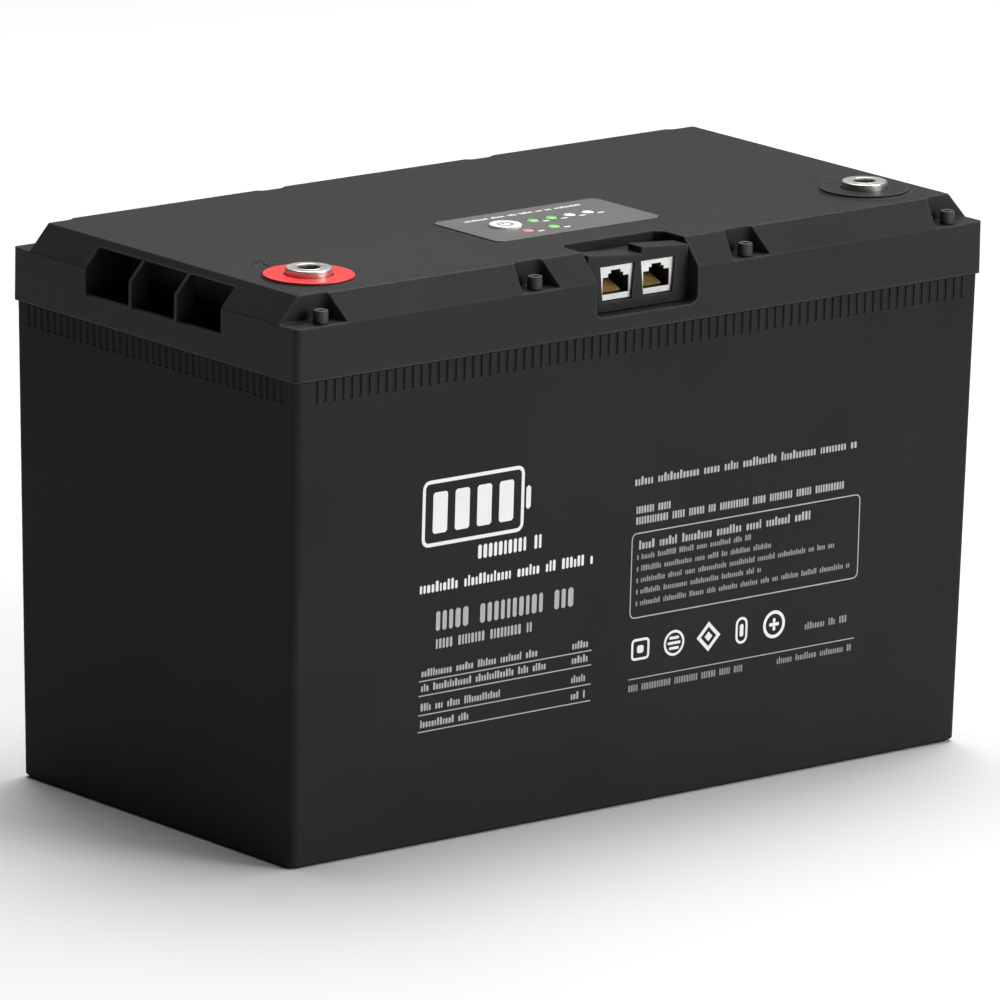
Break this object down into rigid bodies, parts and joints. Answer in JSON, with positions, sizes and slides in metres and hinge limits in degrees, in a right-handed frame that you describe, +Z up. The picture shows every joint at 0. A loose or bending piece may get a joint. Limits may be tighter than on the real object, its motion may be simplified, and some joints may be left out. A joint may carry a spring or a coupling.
{
  "type": "deep cycle battery",
  "caption": "Black lithium deep cycle battery with a screwed lid, finger grips in both ends, a red and a black ringed post, a status panel with a push button, and data sockets.",
  "frame": {"origin": "middle of the footprint, at the surface the case stands on", "axes": "+X along the long side towards the negative post, +Y from the front with the data sockets to the back, +Z up"},
  "size_m": [0.33, 0.172, 0.2174],
  "materials": {
    "case_plastic": "black ABS, fine moulded grain, satin",
    "lid_plastic": "black ABS, fine moulded grain, satin",
    "screw_steel": "black oxide steel",
    "plated_metal": "nickel plated, turned",
    "red_plastic": "smooth red plastic",
    "panel_face": "warm grey printed film, satin",
    "white_plastic": "white plastic, also the printed marks",
    "clear_plastic": "clear acrylic light pipes",
    "circuit_board": "green solder mask",
    "socket_metal": "tin plated sheet",
    "socket_plastic": "black plastic",
    "gold": "gold plated contact wires",
    "cell_wrap": "blue film over an aluminium can",
    "insulation": "pale insulating sheet and strap",
    "aluminium": "plain mill finish",
    "foam": "dark closed cell foam",
    "rubber": "black rubber"
  },
  "bodies": {
    "battery": {"case": "case_plastic", "lid": "lid_plastic", "lid_gasket": "rubber", "lid_screw_front_left_end": "screw_steel", "lid_screw_front_left": "screw_steel", "lid_screw_front_right": "screw_steel", "lid_screw_front_right_end": "screw_steel", "lid_screw_back_left_end": "screw_steel", "lid_screw_back_left": "screw_steel", "lid_screw_back_right": "screw_steel", "lid_screw_back_right_end": "screw_steel", "positive_terminal": "plated_metal", "positive_ring": "red_plastic", "positive_seal": "rubber", "positive_lock_nut": "plated_metal", "negative_terminal": "plated_metal", "negative_ring": "lid_plastic", "negative_seal": "rubber", "negative_lock_nut": "plated_metal", "status_panel": "panel_face", "button_switch": "socket_plastic", "light_guide": "clear_plastic", "indicator_board": "circuit_board", "port_housing": "lid_plastic", "socket_shell_left": "socket_metal", "socket_insert_left": "socket_plastic", "socket_contacts_left": "gold", "socket_shell_right": "socket_metal", "socket_insert_right": "socket_plastic", "socket_contacts_right": "gold", "port_board": "circuit_board", "cell_1": "cell_wrap", "cell_2": "cell_wrap", "cell_3": "cell_wrap", "cell_4": "cell_wrap", "cell_spacer_1": "insulation", "cell_spacer_2": "insulation", "cell_spacer_3": "insulation", "bus_bar_1": "aluminium", "bus_bar_2": "aluminium", "bus_bar_3": "aluminium", "end_plate_left": "aluminium", "end_plate_right": "aluminium", "end_foam_left": "foam", "end_foam_right": "foam", "pack_strap_lower": "insulation", "pack_strap_upper": "insulation", "base_foam": "foam", "board_tray": "lid_plastic", "management_board": "circuit_board", "heat_plate": "aluminium", "top_foam": "foam", "positive_lead": "red_plastic", "output_negative_lead": "rubber", "cell_negative_lead": "rubber", "balance_harness": "insulation", "port_ribbon": "insulation", "panel_ribbon": "insulation", "temperature_sensor": "rubber"},
    "button": {"status_button": "white_plastic"}
  },
  "joints": [
    {"name": "button_press", "type": "slide", "parent": "battery", "child": "button", "axis": [0, 0, -1], "range_m": [0, 0.0005], "stiffness_N_per_m": 3000, "springref_m": -0.0003}
  ]
}
